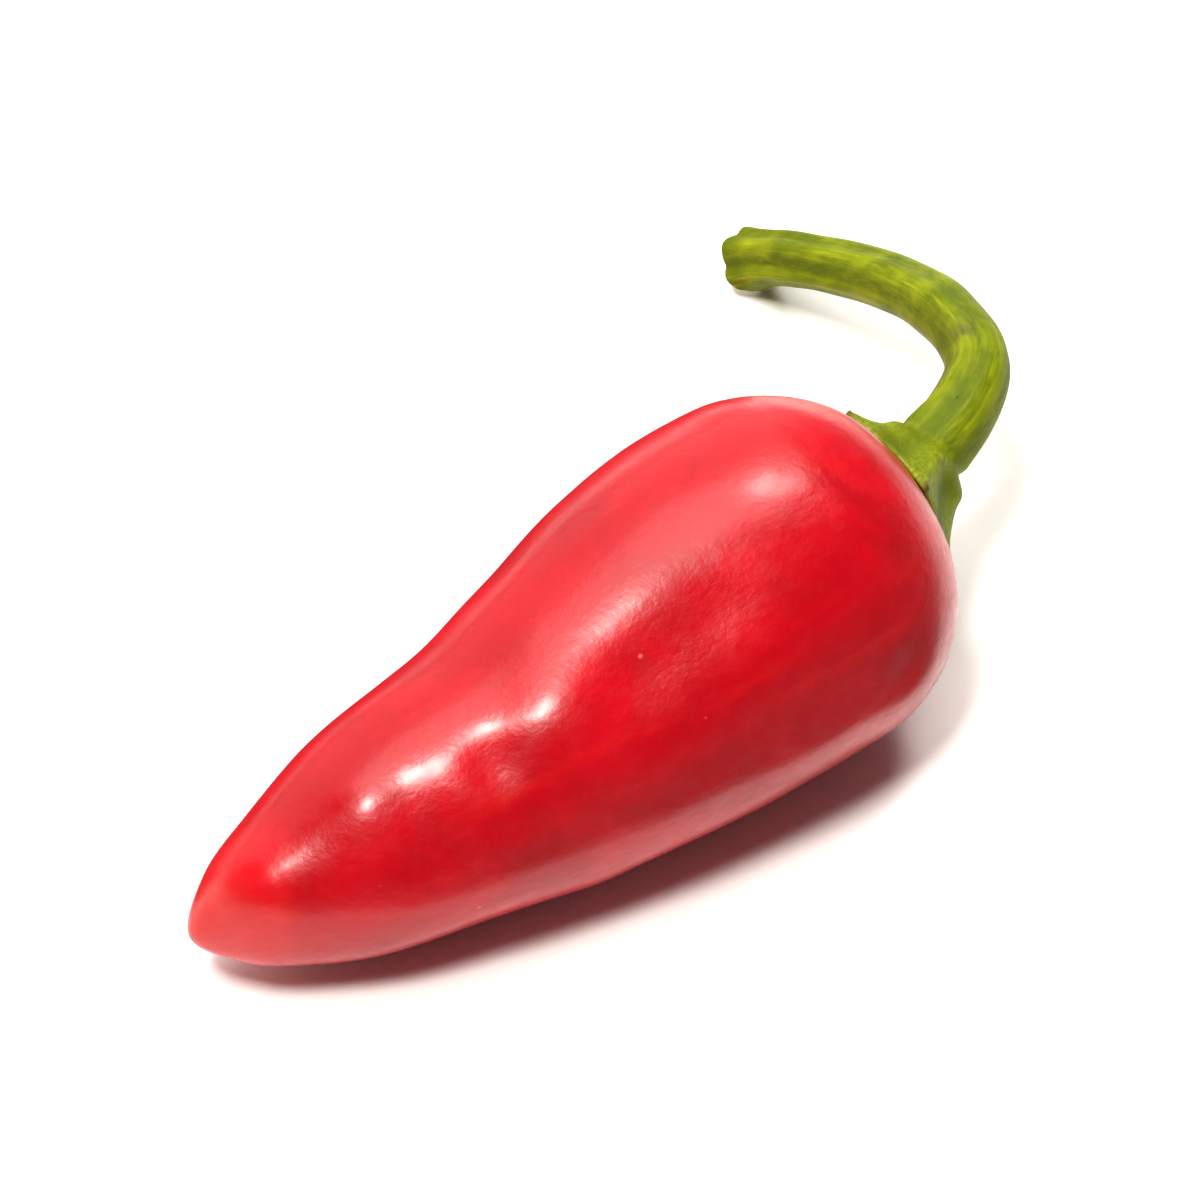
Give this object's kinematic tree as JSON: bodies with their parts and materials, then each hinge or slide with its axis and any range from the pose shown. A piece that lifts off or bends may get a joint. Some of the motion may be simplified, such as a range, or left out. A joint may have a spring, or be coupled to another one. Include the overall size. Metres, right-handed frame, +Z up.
{
  "type": "aji chilli pepper",
  "caption": "Small conical red chilli pepper, as picked, lying on its side, with a five-cornered green calyx and a curved green stem.",
  "frame": {"origin": "in the small flat spot under the belly that the pepper lies on", "axes": "+Z up from the surface that it lies on, +X from the pod's tip towards the stem"},
  "size_m": [0.0705, 0.0476, 0.0246],
  "materials": {
    "pod_skin": "glossy waxy red skin",
    "stem_skin": "satin yellow-green stem and calyx"
  },
  "bodies": {
    "root": {"pod": "pod_skin", "stem_and_calyx": "stem_skin"}
  },
  "joints": []
}
